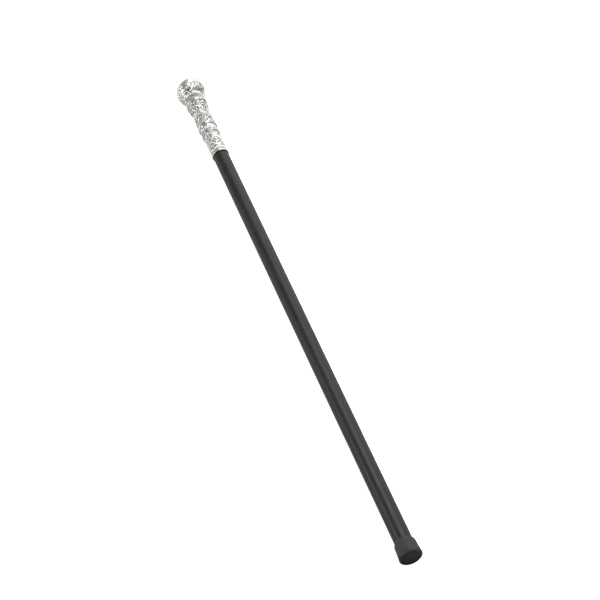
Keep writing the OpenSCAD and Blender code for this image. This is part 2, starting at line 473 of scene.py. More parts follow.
def in_scene(name, data):
    """A new object that holds the data, linked into the scene."""
    made = bpy.data.objects.new(name, data)
    bpy.context.scene.collection.objects.link(made)
    return made


def lathe(name, outline, columns, loop):
    """Turns (x, radius) points round the axis. loop joins the last point to the first, as in a ring."""
    points, rings = [], []
    turns = [2 * math.pi * k / columns for k in range(columns)]
    for x, radius in outline:
        if radius < NO_RADIUS:
            rings.append([len(points)] * columns)
            points.append((x, 0.0, AXIS_Z))
        else:
            rings.append(list(range(len(points), len(points) + columns)))
            points += [(x, radius * math.sin(a), AXIS_Z + radius * math.cos(a)) for a in turns]
    pairs = list(zip(rings, rings[1:])) + ([(rings[-1], rings[0])] if loop else [])
    faces = []
    for first, second in pairs:
        for k in range(columns):
            corners = (first[k], first[(k + 1) % columns], second[(k + 1) % columns], second[k])
            faces.append(tuple(dict.fromkeys(corners)))
    mesh = bpy.data.meshes.new(name)
    mesh.from_pydata(points, [], faces)
    work = bmesh.new()
    work.from_mesh(mesh)
    bmesh.ops.recalc_face_normals(work, faces=work.faces)
    work.to_mesh(mesh)
    work.free()
    return in_scene(name, mesh)


FACE_WIDTH = 0.6 * MM


def columns_for(radius):
    """How many columns give faces of about the usual width."""
    return 4 * round(2 * math.pi * radius / FACE_WIDTH / 4)


def evenly(start, end, steps):
    """Numbers from start to end, the same step apart."""
    return [start + (end - start) * k / steps for k in range(steps + 1)]


def arc(centre, radius, start, end, steps=8):
    """Points of an arc in an outline, between two angles in degrees. Angle 0 points away from the axis."""
    angles = [math.radians(a) for a in evenly(start, end, steps)]
    return [(centre[0] + radius * math.sin(a), centre[1] + radius * math.cos(a)) for a in angles]


def places_of(mesh):
    """The places of a mesh's points, one row for each."""
    places = np.empty(len(mesh.vertices) * 3, np.float32)
    mesh.vertices.foreach_get("co", places)
    return places.reshape(-1, 3)


def write_high(made, rule):
    """Stores high on each point: rule takes the points' places along the cane and their radii."""
    mesh = made.data
    places = places_of(mesh)
    radii = np.hypot(places[:, 1], places[:, 2] - AXIS_Z)
    values = np.clip(rule(places[:, 0], radii), 0.0, 1.0)
    found = mesh.attributes.get("high") or mesh.attributes.new("high", "FLOAT", "POINT")
    found.data.foreach_set("value", values.astype(np.float32))


def soil_edges(made, start, end, width):
    """Lowers high towards both ends of a piece, where it meets its neighbours and tarnish collects."""
    mesh = made.data
    x = places_of(mesh)[:, 0]
    near = np.clip(np.minimum(x - start, end - x) / width, 0.0, 1.0)
    high = np.empty(len(mesh.vertices), np.float32)
    mesh.attributes["high"].data.foreach_get("value", high)
    mesh.attributes["high"].data.foreach_set("value", high * near)


def dress(made, finish, slot, body, *nodes, sharp=55.0):
    """Smooths a finished mesh, gives it its finish and makes it stand for its CAD nodes."""
    if finish.name not in made.data.materials:
        made.data.materials.append(finish)
    made.data.shade_smooth()
    made.data.set_sharp_from_angle(angle=math.radians(sharp))
    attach(made, body)
    if nodes:
        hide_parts(*nodes)
    print(f"{made.name}: {len(made.data.polygons)} faces")


# %% [markdown]
# ## The shaft
#
# The stick is one long turned piece, bored at the top for its stud. A plain cylinder would do from afar,
# but hand-sanded lacquer is never quite straight: its outline wanders by a few hundredths of a millimetre,
# which breaks the long highlight just enough to look real. The lathe takes a ring every few millimetres,
# and two slow waves move the radius.

# %% Turn the shaft
shaft_start, shaft_end, SHAFT_R = reach("shaft")
stud_start, stud_end, STUD_R = reach("shaft_stud")
CHAMFER = 0.5 * MM
SANDING = 0.03 * MM
SHAFT_RINGS = 160


def shaft_outline():
    body = []
    for x in evenly(shaft_start + CHAMFER, shaft_end - CHAMFER, SHAFT_RINGS):
        wander = SANDING * (math.sin(x * 61.0) + 0.6 * math.sin(x * 149.0 + 1.0)) / 1.6
        body.append((x, SHAFT_R - SANDING + wander))
    return (
        [(stud_end, 0.0), (stud_end, STUD_R), (shaft_start, STUD_R), (shaft_start, SHAFT_R - CHAMFER)]
        + body
        + [(shaft_end, SHAFT_R - CHAMFER), (shaft_end, 0.0)]
    )


shaft = lathe("shaft_turned", shaft_outline(), columns_for(SHAFT_R), loop=False)
dress(shaft, black_lacquer, "black_lacquer", "shaft", "shaft")

# %% [markdown]
# ## The rubber ferrule
#
# It is a thick cup: a rounded mouth, a skirt that flares towards the floor, a rolled lower edge and a ring
# groove moulded into the base for grip. All of that is one outline. Short notches round the rim are pushed
# in afterwards, because they are the one thing about it that isn't round. The steel washer in its floor is
# a CAD part of its own, so the cup leaves a seat for it.

# %% Turn the ferrule
ferrule_start, ferrule_end, FERRULE_R = reach("rubber_ferrule")
washer_start, washer_end, WASHER_R = reach("ferrule_washer")
SOCKET_R = SHAFT_R + 0.05 * MM
MOUTH_R = SHAFT_R + 0.5 * MM
SHOULDER_R = 13.7 * MM
SHOULDER_LENGTH = 5.5 * MM
BASE_ROUND = 1.3 * MM
GROOVE_R = 0.72 * FERRULE_R
GROOVE_HALF = 0.6 * MM
GROOVE_DEPTH = 0.8 * MM
LIP_R = 0.45 * MM
WAISTING = 0.12 * MM


def ferrule_outline():
    rise = SHOULDER_R - MOUTH_R
    bow = (rise**2 + SHOULDER_LENGTH**2) / (2 * rise)
    lean = math.degrees(math.asin(SHOULDER_LENGTH / bow))
    shoulder = arc((ferrule_start + SHOULDER_LENGTH, SHOULDER_R - bow), bow, -lean, 0.0, 14)
    lip = arc((ferrule_start + LIP_R, SOCKET_R + LIP_R), LIP_R, -180.0, -90.0, 4)
    flare_start, flare_end = shoulder[-1], (ferrule_end - BASE_ROUND, FERRULE_R)
    flare = []
    for k in range(1, 12):
        t = k / 12
        x, r = (a + (b - a) * t for a, b in zip(flare_start, flare_end))
        flare.append((x, r - WAISTING * math.sin(math.pi * t)))
    rolled = arc((ferrule_end - BASE_ROUND, FERRULE_R - BASE_ROUND), BASE_ROUND, 0.0, 90.0, 8)
    floor = ferrule_end - GROOVE_DEPTH
    groove = [
        (ferrule_end, GROOVE_R + GROOVE_HALF),
        (floor, GROOVE_R + 0.6 * GROOVE_HALF),
        (floor, GROOVE_R - 0.6 * GROOVE_HALF),
        (ferrule_end, GROOVE_R - GROOVE_HALF),
    ]
    tread = [(ferrule_end, GROOVE_R + GROOVE_HALF + step * MM) for step in (1.9, 1.6, 0.5, 0.25)]
    cup = [
        (washer_end, 0.0),
        (washer_end, WASHER_R),
        (washer_start, WASHER_R),
        (washer_start, SOCKET_R),
    ]
    return cup + lip + shoulder[1:] + flare + rolled + tread + groove + [(ferrule_end, 0.0)]


def cut_tread(made, notches, depth):
    """Sinks short radial notches into the flat ring outside the groove."""
    inner, outer = GROOVE_R + GROOVE_HALF + 0.4 * MM, GROOVE_R + GROOVE_HALF + 1.7 * MM
    for point in made.data.vertices:
        across, rise = point.co.y, point.co.z - AXIS_Z
        if point.co.x > ferrule_end - 0.01 * MM and inner < math.hypot(across, rise) < outer:
            wave = math.cos(notches * math.atan2(across, rise))
            point.co.x -= depth * (0.5 + 0.5 * math.tanh(3.0 * wave))


ferrule = lathe("ferrule_moulded", ferrule_outline(), 288, loop=False)
cut_tread(ferrule, notches=36, depth=0.5 * MM)
dress(ferrule, matt_rubber, "rubber", "ferrule", "rubber_ferrule", sharp=45.0)

# %% [markdown]
# ## The polished rings
#
# Plain rings separate the embossed sleeves. Their outlines are arcs: slim half-rounds on both sides of the
# middle band, and a collar with rolled edges where the handle meets the stick. Their high value falls to
# nothing at both edges, so that the tarnish draws a dark line there.

# %% Turn the rings
DOWEL_R = reach("handle_core")[2]
STUD_CLEAR_R = STUD_R + 0.05 * MM


def rolled_ring(node, edge, bore, name):
    start, end, outer = reach(node)
    outline = [(start, bore)]
    outline += arc((start + edge, outer - edge), edge, -90.0, 0.0)
    outline += arc((end - edge, outer - edge), edge, 0.0, 90.0)
    outline.append((end, bore))
    made = lathe(name, outline, columns_for(outer), loop=True)
    fade = 0.7 * edge

    def polish(x, r):
        return np.minimum(x - start, end - x) / fade * 0.6 + (r - outer + edge) / edge * 0.4

    write_high(made, polish)
    return made


for node, edge, bore, body in (
    ("band_ring_upper", 1.0 * MM, DOWEL_R, "handle"),
    ("band_ring_lower", 1.0 * MM, DOWEL_R, "handle"),
    ("collar_ring", 0.7 * MM, STUD_CLEAR_R, "collar"),
):
    ring = rolled_ring(node, edge, bore, node + "_turned")
    dress(ring, polished_silver, "polished_silver", body, node)

# %% [markdown]
# ## The crown
#
# The top of the knob is a plain polished cap, spun over a form. Its wall is a little over a millimetre, its
# rim is rolled, and a fine double line is cut just above the rim. The outline runs from the pole down the
# outside, round the rim and back up the inside.

# %% Spin the crown
crown_start, crown_end, _ = reach("knob_crown")
BALL_X = crown_start + KNOB_R
SHELL = 1.3 * MM
LINE_DEPTH = 0.14 * MM
LINE_HALF = 0.22 * MM
LINES = (1.5 * MM, 2.5 * MM)
RIM_ROLL = 0.35 * MM
OUTSIDE_STEPS, INSIDE_STEPS = 220, 32


def on_ball(radius, angle):
    """The place along the cane and the radius of a point on the ball, at an angle in degrees."""
    lean = math.radians(angle)
    return BALL_X + radius * math.sin(lean), radius * math.cos(lean)


def crown_outline():
    outer = [(crown_start, 0.0)]
    edge_angle = math.degrees(math.asin(min(1.0, (crown_end - BALL_X) / KNOB_R)))
    for angle in evenly(-90.0, edge_angle, OUTSIDE_STEPS)[1:]:
        x, r = on_ball(KNOB_R, angle)
        below = (crown_end - x) if r > 0.9 * KNOB_R else 1.0
        cut = sum(max(0.0, 1.0 - abs(below - line) / LINE_HALF) for line in LINES)
        roll = max(0.0, 1.0 - below / RIM_ROLL)
        outer.append((x, r - LINE_DEPTH * cut - RIM_ROLL * roll**2))
    inner = [on_ball(KNOB_R - SHELL, angle) for angle in evenly(edge_angle, -90.0, INSIDE_STEPS)]
    return outer + inner[:-1] + [(inner[-1][0], 0.0)]


def crown_polish(x, r):
    """Bright on the ball, dark in the cut lines and a little dull along the rim."""
    return 1.0 - (KNOB_R - np.hypot(x - BALL_X, r)) / LINE_DEPTH - 0.4 * (crown_end - x < 0.2 * MM)


crown = lathe("knob_crown_spun", crown_outline(), columns_for(KNOB_R), loop=False)
write_high(crown, crown_polish)
dress(crown, polished_silver, "polished_silver", "handle", "knob_crown")

# %% [markdown]
# ## Drawing the ornament
#
# A silversmith first draws one repeat of a pattern and then chases it round the work. The functions below
# draw with three strokes: a scroll that winds in and ends in an eye, a stem between two points, and a blade,
# which is one lobe of a leaf. Each point of a stroke has a half width. A repeat is drawn flat, in
# millimetres, with s running round the sleeve and v along it.


# %% Strokes of a pattern
def scroll(centre, outer, inner, start, turns, half_width, steps=44):
    """A spiral that winds inwards from angle start, in degrees, and ends in a round eye."""
    points = []
    for k in range(steps + 1):
        t = k / steps
        radius = outer * (inner / outer) ** t
        angle = math.radians(start) + 2 * math.pi * turns * t
        width = half_width * (1.0 - 0.35 * t) if k < steps - 3 else half_width * 1.05
        points.append((centre[0] + radius * math.cos(angle), centre[1] + radius * math.sin(angle), width))
    return points


def stem(start, start_way, end, end_way, half_width, steps=16):
    """A smooth line that leaves start along start_way and arrives at end along end_way."""
    points = []
    for k in range(steps + 1):
        t = k / steps
        a, b, c, d = (1 - t) ** 3, 3 * t * (1 - t) ** 2, 3 * t * t * (1 - t), t**3
        x = a * start[0] + b * (start[0] + start_way[0]) + c * (end[0] - end_way[0]) + d * end[0]
        y = a * start[1] + b * (start[1] + start_way[1]) + c * (end[1] - end_way[1]) + d * end[1]
        points.append((x, y, half_width))
    return points


def blade(root, angle, length, bend, half_width, steps=12):
    """One lobe of a leaf. It leaves root at angle, in degrees, bends sideways and ends round."""
    way = (math.cos(math.radians(angle)), math.sin(math.radians(angle)))
    points = []
    for k in range(steps + 1):
        t = k / steps
        along, side = length * t, bend * length * t * t
        x = root[0] + along * way[0] - side * way[1]
        y = root[1] + along * way[1] + side * way[0]
        points.append((x, y, half_width * (0.25 + 0.75 * math.sin(math.pi * (0.08 + 0.78 * t)) ** 0.9)))
    return points


def fan(root, angle, length, half_width, lobes=5, spread=30.0):
    """A leaf of several blades about a middle one. The outer ones are shorter and curl away."""
    middle = (lobes - 1) / 2
    leaf = []
    for k in range(lobes):
        off = k - middle
        size = length * (1.0 - 0.15 * abs(off))
        leaf.append(blade(root, angle + spread * off, size, 0.22 * off, half_width))
    return leaf


def dot(centre, radius):
    return [(centre[0] - 0.06, centre[1], radius), (centre[0] + 0.06, centre[1], radius)]


def flower(centre, size, petals, first=0.0):
    """Round petals about a middle, as leaves."""
    step = 360.0 / petals
    return [blade(centre, first + step * k, size, 0.12, 1.35 * size / petals) for k in range(petals)]


def leafy_scroll(centre, outer, start, turns, half_width, lobes=7):
    """A scroll with leaf lobes along its outside and a flower in its eye. Returns stems and leaves."""
    hand = 1.0 if turns > 0 else -1.0
    line = scroll(centre, outer, 0.40 * outer, start, turns, half_width)
    leaves = flower(centre, 0.36 * outer, 5, start)
    for k in range(lobes):
        x, y, _ = line[round((len(line) - 1) * (0.02 + 0.66 * k / (lobes - 1)))]
        outward = math.degrees(math.atan2(y - centre[1], x - centre[0]))
        size = outer * (0.60 - 0.20 * k / (lobes - 1))
        leaves.append(blade((x, y), outward + 42.0 * hand, size, 0.40 * hand, 0.27 * size))
    for k in range(3):
        x, y, _ = line[round((len(line) - 1) * (0.12 + 0.16 * k))]
        inward = math.degrees(math.atan2(centre[1] - y, centre[0] - x))
        leaves.append(blade((x, y), inward - 48.0 * hand, 0.34 * outer, -0.3 * hand, 0.075 * outer))
    return [line, dot(centre, 0.14 * outer)], leaves


def turned_half(strokes, centre):
    """The same strokes turned half way round about centre."""
    return [[(2 * centre[0] - x, 2 * centre[1] - y, w) for x, y, w in line] for line in strokes]


def mirrored(strokes, middle):
    """The same strokes mirrored across the line s = middle."""
    return [[(2 * middle - x, y, w) for x, y, w in line] for line in strokes]


# %% [markdown]
# ## Five repeats
#
# The grip and the upper sleeve carry leafy scrolls that wind one way below and the other way above. The
# lower sleeve carries long ribbons that cross between leaves. The middle band is a row of upright leaves,
# and the ring under the knob a laurel. The knob alternates a panel of flutes, which run down into the neck,
# with a panel of scrolls. Each function takes the size of its cell and returns stems and leaves, because
# the two are pressed with different faces. The cells are drawn full, so that little bare ground is left.


# %% Draw the repeats
def scroll_cell(wide, tall):
    middle = (wide / 2, tall / 2)
    radius = min(0.27 * wide, 0.175 * tall)
    low = (0.33 * wide, 0.27 * tall)
    stems, leaves = leafy_scroll(low, radius, 0.0, -1.3, 0.05 * wide)
    way = (0.0, 0.13 * tall)
    stems.append(stem((low[0] + radius, low[1]), way, middle, (-0.10 * wide, 0.10 * tall), 0.045 * wide))
    leaves += fan((0.83 * wide, 0.04 * tall), 92.0, 0.22 * tall, 0.052 * wide, 5, 27.0)
    leaves += fan((0.84 * wide, 0.36 * tall), 70.0, 0.12 * tall, 0.045 * wide, 3, 34.0)
    leaves.append(blade((0.66 * wide, 0.31 * tall), 78.0, 0.17 * tall, 0.35, 0.05 * wide))
    leaves.append(blade((0.10 * wide, 0.47 * tall), 14.0, 0.26 * wide, 0.35, 0.045 * wide))
    leaves.append(blade((0.04 * wide, 0.40 * tall), 108.0, 0.12 * tall, -0.3, 0.045 * wide))
    stems += [dot((0.66 * wide, 0.07 * tall), 0.036 * wide), dot((1.0 * wide, 0.05 * tall), 0.036 * wide)]
    stems += [dot((0.69 * wide, 0.24 * tall), 0.028 * wide), dot((0.985 * wide, 0.33 * tall), 0.030 * wide)]
    return stems + turned_half(stems, middle), leaves + turned_half(leaves, middle)


def ribbon_cell(wide, tall):
    middle = (wide / 2, tall / 2)
    corner = (0.13 * wide, 0.15 * tall)
    ribbon = [stem(corner, (-0.03 * wide, 0.16 * tall), middle, (0.14 * wide, 0.11 * tall), 0.95)]
    ribbon.append(scroll((corner[0] + 2.1, corner[1] - 0.6), 2.2, 0.7, 165.0, 1.35, 0.7))
    for at, way in ((3, 152.0), (5, 146.0), (7, 140.0), (9, 136.0), (11, 132.0)):
        x, y, _ = ribbon[0][at]
        ribbon_leaf = blade((x, y), way, 2.9 - 0.12 * at, 0.3, 0.72)
        ribbon.append([(px, py, 0.9 * w) for px, py, w in ribbon_leaf])
    stems = ribbon[:2] + mirrored(ribbon[:2], middle[0])
    one_side = ribbon[2:]
    one_side.append(blade((0.29 * wide, 0.33 * tall), -8.0, 0.13 * wide, 0.35, 0.7))
    one_side.append(blade((0.24 * wide, 0.27 * tall), -18.0, 0.13 * wide, 0.35, 0.7))
    one_side.append(blade((0.36 * wide, 0.385 * tall), 2.0, 0.10 * wide, 0.3, 0.62))
    one_side += fan((0.0, 0.10 * tall), 64.0, 0.13 * tall, 0.85, 2, 30.0)
    leaves = flower(middle, 3.6, 6, 30.0)
    leaves += one_side + mirrored(one_side, middle[0])
    leaves += fan((middle[0], 0.03 * tall), 90.0, 0.18 * tall, 0.95, 7, 25.0)
    leaves += fan((middle[0], 0.255 * tall), 90.0, 0.12 * tall, 0.85, 5, 27.0)
    leaves += fan((0.0, 0.235 * tall), 90.0, 0.13 * tall, 0.95, 5, 26.0)
    leaves += fan((0.0, 0.40 * tall), 90.0, 0.085 * tall, 0.85, 7, 27.0)
    leaves.append(blade((0.0, 0.03 * tall), 90.0, 0.13 * tall, 0.0, 0.85))
    stems += [dot((middle[0], 0.225 * tall), 0.75), dot((0.0, 0.20 * tall), 0.7), dot(middle, 1.1)]
    return stems + turned_half(stems, middle), leaves + turned_half(leaves, middle)


def leaf_cell(wide, tall):
    middle = wide / 2
    side = [scroll((0.84 * wide, 0.24 * tall), 0.17 * wide, 0.35, 200.0, -1.3, 0.42)]
    stems = side + mirrored(side, middle)
    stems += [dot((0.0, 0.90 * tall), 0.55), dot((0.0, 0.80 * tall), 0.42), dot((middle, 0.10 * tall), 0.55)]
    leaves = fan((middle, 0.17 * tall), 90.0, 0.70 * tall, 0.85, lobes=5, spread=19.0)
    leaves += fan((middle, 0.13 * tall), 90.0, 0.36 * tall, 0.70, lobes=7, spread=23.0)
    leaves += fan((0.0, 0.40 * tall), 90.0, 0.34 * tall, 0.62, lobes=3, spread=22.0)
    return stems, leaves


def laurel_cell(wide, tall):
    middle = tall / 2
    leaves = []
    for angle, bend in ((27.0, -0.2), (-27.0, 0.2)):
        leaves.append(blade((0.0, middle), angle, 1.02 * wide, bend, 0.62))
    leaves.append(blade((0.0, middle), 0.0, 0.85 * wide, 0.0, 0.5))
    edge = [[(s * wide, v * tall, 0.34) for s in (0.0, 0.5, 1.0)] for v in (0.15, 0.85)]
    berries = [dot((0.55 * wide, middle + side), 0.34) for side in (1.45, -1.45)]
    return edge + berries, leaves


def knob_cell(wide, tall):
    stems, leaves = [], []
    for k in range(4):
        s = wide * (0.055 + 0.088 * k)
        crown_v = 0.20 + 0.035 * abs(k - 1.5)
        stems.append([(s, v * tall, 0.82 - 0.25 * abs(v - 0.5)) for v in evenly(crown_v, 0.80, 8)])
    leaves += fan((0.187 * wide, 0.165 * tall), -90.0, 0.125 * tall, 1.0, 7, 27.0)
    big, big_leaves = leafy_scroll((0.65 * wide, 0.26 * tall), 0.172 * wide, 180.0, 1.35, 0.80, 8)
    small, small_leaves = leafy_scroll((0.68 * wide, 0.61 * tall), 0.125 * wide, 20.0, 1.3, 0.68, 7)
    stems += big + small
    leaves += big_leaves + small_leaves
    way = (0.0, 0.09 * tall)
    stems.append(stem((0.478 * wide, 0.26 * tall), way, (0.797 * wide, 0.653 * tall), way, 0.72))
    leaves += fan((0.93 * wide, 0.42 * tall), 92.0, 0.15 * tall, 1.05, 5, 26.0)
    leaves += fan((0.455 * wide, 0.56 * tall), 92.0, 0.17 * tall, 1.0, 5, 24.0)
    leaves += fan((0.445 * wide, 0.36 * tall), 84.0, 0.13 * tall, 0.85, 3, 26.0)
    leaves += fan((0.42 * wide, 0.04 * tall), 84.0, 0.14 * tall, 0.9, 3, 30.0)
    leaves += fan((0.93 * wide, 0.05 * tall), 96.0, 0.17 * tall, 1.0, 5, 27.0)
    leaves.append(blade((0.66 * wide, 0.02 * tall), 10.0, 0.15 * wide, 0.1, 0.8))
    leaves.append(blade((0.64 * wide, 0.02 * tall), 170.0, 0.15 * wide, -0.1, 0.8))
    for k in range(11):
        leaves.append(blade((wide * (0.01 + k / 11), 0.835 * tall), 90.0, 0.13 * tall, 0.0, 0.78))
    stems += [dot((0.955 * wide, 0.30 * tall), 0.7), dot((0.42 * wide, 0.33 * tall), 0.6)]
    stems += [dot((0.42 * wide, 0.44 * tall), 0.55), dot((0.955 * wide, 0.38 * tall), 0.55)]
    return stems, leaves


# %% [markdown]
# ## Pressing the ornament into silver
#
# This is the main Geometry Nodes tree. It repeats the drawn strokes round the sleeve, measures how far each
# point of the sheet lies from the nearest stroke, and raises the sheet there with a round face. Distance is
# the whole trick: a point on a stroke's middle line stands at full height, and one past its half width
# stays down in the ground. The inner group does one set of strokes, and the outer tree uses it twice,
# because leaves have a crease along their middle and stems don't. The ground is matted with a small punch,
# as on real work, and tarnish gathers at the foot of the relief, where no cloth reaches.


# %% The group that presses one set of strokes
PER_POINT = {"data_type": "FLOAT", "domain": "POINT"}


def stored_on(tree, name, data_type):
    """The wire of a value that the mesh carries under this name."""
    settings = {"data_type": data_type}
    return place(tree, "GeometryNodeInputNamedAttribute", settings, {"Name": name}).outputs[0]


def hand_over(tree, geometry, finish, result):
    """The last nodes of a tree: loose copies become real mesh, and the mesh gets its finish."""
    real = place(tree, "GeometryNodeRealizeInstances", None, {0: geometry})
    wires = {"Geometry": real.outputs[0], "Material": finish}
    tree.links.new(place(tree, "GeometryNodeSetMaterial", None, wires).outputs[0], result)


STROKE_STEP = 0.2 * MM
THINNEST_STROKE = 0.02 * MM
CREASE_WIDTH = 0.19 * MM


def build_press_group():
    tree, given, result = new_group(
        "pressed_strokes",
        "GeometryNodeTree",
        [
            ("Strokes", OBJECT, None),
            ("Repeats", INT, 6),
            ("Cell Width", FLOAT, 0.015),
            ("Flat Place", VECTOR, (0.0, 0.0, 0.0)),
            ("Fullness", FLOAT, 0.7),
            ("Crease", FLOAT, 0.0),
        ],
        [("Height", FLOAT), ("Gap", FLOAT)],
    )
    drawn = place(tree, "GeometryNodeObjectInfo", None, {"Object": given["Strokes"]})
    first = arrow(tree, X=times(tree, given["Cell Width"], -1.0))
    step = arrow(tree, X=given["Cell Width"])
    count = calc(tree, "ADD", given["Repeats"], 2.0)
    wires = {"Count": count, "Start Location": first, "Offset": step}
    spots = place(tree, "GeometryNodeMeshLine", {"mode": "OFFSET"}, wires)
    wires = {"Points": spots.outputs[0], "Instance": drawn.outputs["Geometry"]}
    repeated = place(tree, "GeometryNodeInstanceOnPoints", None, wires)
    joined = place(tree, "GeometryNodeRealizeInstances", None, {0: repeated.outputs[0]})
    wires = {"Curve": joined.outputs[0], "Length": STROKE_STEP}
    even = place(tree, "GeometryNodeResampleCurve", {"mode": "LENGTH"}, wires)
    radius = place(tree, "GeometryNodeInputRadius").outputs[0]
    wires = {"Geometry": even.outputs[0], "Name": "half_width", "Value": radius}
    widths = place(tree, "GeometryNodeStoreNamedAttribute", PER_POINT, wires)
    lines = place(tree, "GeometryNodeCurveToMesh", None, {"Curve": widths.outputs[0]}).outputs[0]
    near = place(tree, "GeometryNodeProximity", {"target_element": "EDGES"})
    tree.links.new(lines, near.inputs[0])
    sampled = next(s for s in near.inputs if s.name in ("Source Position", "Sample Position"))
    tree.links.new(given["Flat Place"], sampled)
    distance = near.outputs["Distance"]
    wires = {"Geometry": lines, "Sample Position": given["Flat Place"]}
    index = place(tree, "GeometryNodeSampleNearest", {"domain": "POINT"}, wires).outputs[0]
    picked = place(tree, "GeometryNodeSampleIndex", PER_POINT)
    stored = stored_on(tree, "half_width", "FLOAT")
    for wire, socket in ((lines, "Geometry"), (stored, "Value"), (index, "Index")):
        tree.links.new(wire, picked.inputs[socket])
    width = calc(tree, "MAXIMUM", picked.outputs[0], THINNEST_STROKE)
    share = calc(tree, "DIVIDE", distance, width)
    inside = minus(tree, 1.0, times(tree, share, share), clamp=True)
    face = times(tree, calc(tree, "SQRT", inside), times(tree, width, given["Fullness"]))
    narrow = calc(tree, "DIVIDE", distance, CREASE_WIDTH)
    notch = calc(tree, "EXPONENT", times(tree, narrow, narrow, -1.0))
    vein = times(tree, notch, given["Crease"], face)
    tree.links.new(minus(tree, face, vein), result["Height"])
    tree.links.new(minus(tree, distance, width), result["Gap"])
    return tree


press_group = build_press_group()
print("geometry group:", press_group.name, "with", len(press_group.nodes), "nodes")


# %% The tree that embosses a sleeve
GROUND_REACH = 0.7 * MM
PUNCH_GRID = 1700.0


def build_emboss_tree():
    tree, given, result = new_group(
        "embossed_sleeve",
        "GeometryNodeTree",
        [
            ("Sleeve", GEOMETRY, None),
            ("Stems", OBJECT, None),
            ("Leaves", OBJECT, None),
            ("Repeats", INT, 6),
            ("Cell Width", FLOAT, 0.015),
            ("Relief", FLOAT, 0.0005),
            ("Punch Marks", FLOAT, 0.00004),
            ("Ground Shine", FLOAT, 0.4),
            ("Finish", MATERIAL, None),
        ],
        [("Sleeve", GEOMETRY)],
    )
    flat = stored_on(tree, "flat", "FLOAT_VECTOR")
    press = stored_on(tree, "press", "FLOAT")
    heights, gaps = [], []
    for label, fullness, crease in (("Stems", 0.75, 0.0), ("Leaves", 0.62, 0.5)):
        pressed = place(tree, "GeometryNodeGroup", {"node_tree": press_group})
        for socket in ("Repeats", "Cell Width"):
            tree.links.new(given[socket], pressed.inputs[socket])
        tree.links.new(given[label], pressed.inputs["Strokes"])
        tree.links.new(flat, pressed.inputs["Flat Place"])
        pressed.inputs["Fullness"].default_value = fullness
        pressed.inputs["Crease"].default_value = crease
        heights.append(pressed.outputs["Height"])
        gaps.append(pressed.outputs["Gap"])
    raised = calc(tree, "MINIMUM", calc(tree, "MAXIMUM", *heights), given["Relief"])
    share = calc(tree, "DIVIDE", raised, given["Relief"])
    open_ground = calc(tree, "DIVIDE", calc(tree, "MINIMUM", *gaps), GROUND_REACH, clamp=True)
    wires = {"Vector": flat, "Scale": PUNCH_GRID, "Randomness": 0.7}
    grid = place(tree, "ShaderNodeTexVoronoi", {"feature": "F1"}, wires)
    pit = minus(tree, 1.0, times(tree, grid.outputs["Distance"], 1.9), clamp=True)
    pitted = times(tree, pit, times(tree, open_ground, 2.0, clamp=True))
    punched = times(tree, pitted, given["Punch Marks"])
    sunk = minus(tree, minus(tree, raised, given["Relief"]), punched)
    way = place(tree, "GeometryNodeInputNormal").outputs[0]
    offset = arrow_calc(tree, "SCALE", {0: way, "Scale": times(tree, sunk, press)})
    rubbed = minus(tree, times(tree, open_ground, given["Ground Shine"]), times(tree, pitted, 0.2))
    shown = calc(tree, "MAXIMUM", calc(tree, "POWER", share, 0.75), rubbed)
    high = calc(tree, "MULTIPLY_ADD", minus(tree, shown, 1.0), press, 1.0)
    wires = {"Geometry": given["Sleeve"], "Name": "high", "Value": high}
    marked = place(tree, "GeometryNodeStoreNamedAttribute", PER_POINT, wires)
    wires = {"Geometry": marked.outputs[0], "Offset": offset[0]}
    moved = place(tree, "GeometryNodeSetPosition", None, wires)
    hand_over(tree, moved.outputs[0], given["Finish"], result["Sleeve"])
    return tree


emboss_tree = build_emboss_tree()
print("geometry tree:", emboss_tree.name)


# %% Run a tree on an object and keep the plain mesh
def run_tree(made, tree, values):
    """Gives a tree's inputs their values, runs it on the object and keeps only the mesh that it makes."""
    modifier = made.modifiers.new(tree.name, "NODES")
    modifier.node_group = tree
    for item in tree.interface.items_tree:
        if item.item_type == "SOCKET" and item.in_out == "INPUT" and item.name in values:
            modifier[item.identifier] = values[item.name]
    graph = bpy.context.evaluated_depsgraph_get()
    mesh = bpy.data.meshes.new_from_object(
        made.evaluated_get(graph), preserve_all_data_layers=True, depsgraph=graph
    )
    made.modifiers.remove(modifier)
    made.data = mesh
    for name in ("flat", "press", "half_width"):
        if name in mesh.attributes:
            mesh.attributes.remove(mesh.attributes[name])


def drawing(name, strokes):
    """A flat curve object of one repeat, with each point's half width as its radius."""
    curve = bpy.data.curves.new(name, "CURVE")
    curve.dimensions = "3D"
    for line in strokes:
        spline = curve.splines.new("POLY")
        spline.points.add(len(line) - 1)
        for point, (s, v, width) in zip(spline.points, line):
            point.co = (s * MM, v * MM, 0.0, 1.0)
            point.radius = width * MM
    return in_scene(name, curve)


# %% [markdown]
# ## Preparing a sheet
#
# The tree needs to know where each point of a sleeve lies on the flat drawing. So the sleeve is first turned
# plain, with a fine outline on its outside and a coarse one inside, and each outer point stores its flat
# place: the angle times one reference radius, and the distance along the outline. A second number, press, is
# 1 where the ornament goes and fades out at both ends, which leaves a plain border against the rings.


# %% Turn a plain sleeve and emboss it
BORDER = 0.9 * MM
PUNCH_DEPTH = 0.06 * MM
SOILED_EDGE = 0.55 * MM


def outline_length(outline):
    return [0.0, *np.cumsum([math.dist(a, b) for a, b in zip(outline, outline[1:])])]


